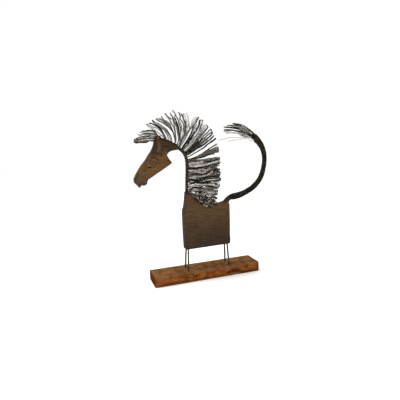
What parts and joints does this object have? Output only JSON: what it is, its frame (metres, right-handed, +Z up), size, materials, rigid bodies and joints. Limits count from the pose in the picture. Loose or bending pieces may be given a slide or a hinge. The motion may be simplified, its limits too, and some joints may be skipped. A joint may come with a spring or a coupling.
{
  "type": "wire horse sculpture",
  "caption": "Standing horse sculpture: stained board body, carved wooden head, bundled wire neck with fanned wire mane, curling frayed wire tail, wire legs, wooden plank base.",
  "frame": {"origin": "middle of the plank's underside", "axes": "+Z up, the horse looks towards -X, +Y to the side away from the picture's camera"},
  "size_m": [0.325, 0.057, 0.3876],
  "materials": {
    "reclaimed_plank": "orange-brown, worn",
    "dark_stained_board": "dark olive-brown stain, matt",
    "carved_stained_wood": "brown stain, dull wax",
    "black_annealed_wire": "black annealed",
    "grey_steel_wire": "dull grey"
  },
  "bodies": {
    "root": {"base": "reclaimed_plank", "body": "dark_stained_board", "forelock_01": "grey_steel_wire", "forelock_02": "grey_steel_wire", "forelock_03": "grey_steel_wire", "head": "carved_stained_wood", "leg_front_far": "grey_steel_wire", "leg_front_near": "grey_steel_wire", "leg_rear_far": "grey_steel_wire", "leg_rear_near": "grey_steel_wire", "mane_01": "grey_steel_wire", "mane_02": "grey_steel_wire", "mane_03": "grey_steel_wire", "mane_04": "grey_steel_wire", "mane_05": "grey_steel_wire", "mane_06": "grey_steel_wire", "mane_07": "grey_steel_wire", "mane_08": "grey_steel_wire", "mane_09": "grey_steel_wire", "mane_10": "grey_steel_wire", "mane_11": "grey_steel_wire", "mane_12": "grey_steel_wire", "mane_13": "grey_steel_wire", "mane_14": "grey_steel_wire", "mane_15": "grey_steel_wire", "mane_16": "grey_steel_wire", "mane_17": "grey_steel_wire", "mane_18": "grey_steel_wire", "mane_19": "grey_steel_wire", "mane_20": "grey_steel_wire", "mane_21": "grey_steel_wire", "mane_22": "grey_steel_wire", "mane_23": "grey_steel_wire", "mane_24": "grey_steel_wire", "mane_25": "grey_steel_wire", "mane_26": "grey_steel_wire", "mane_27": "grey_steel_wire", "mane_28": "grey_steel_wire", "mane_29": "grey_steel_wire", "mane_30": "grey_steel_wire", "neck": "black_annealed_wire", "tail": "black_annealed_wire"}
  },
  "joints": []
}
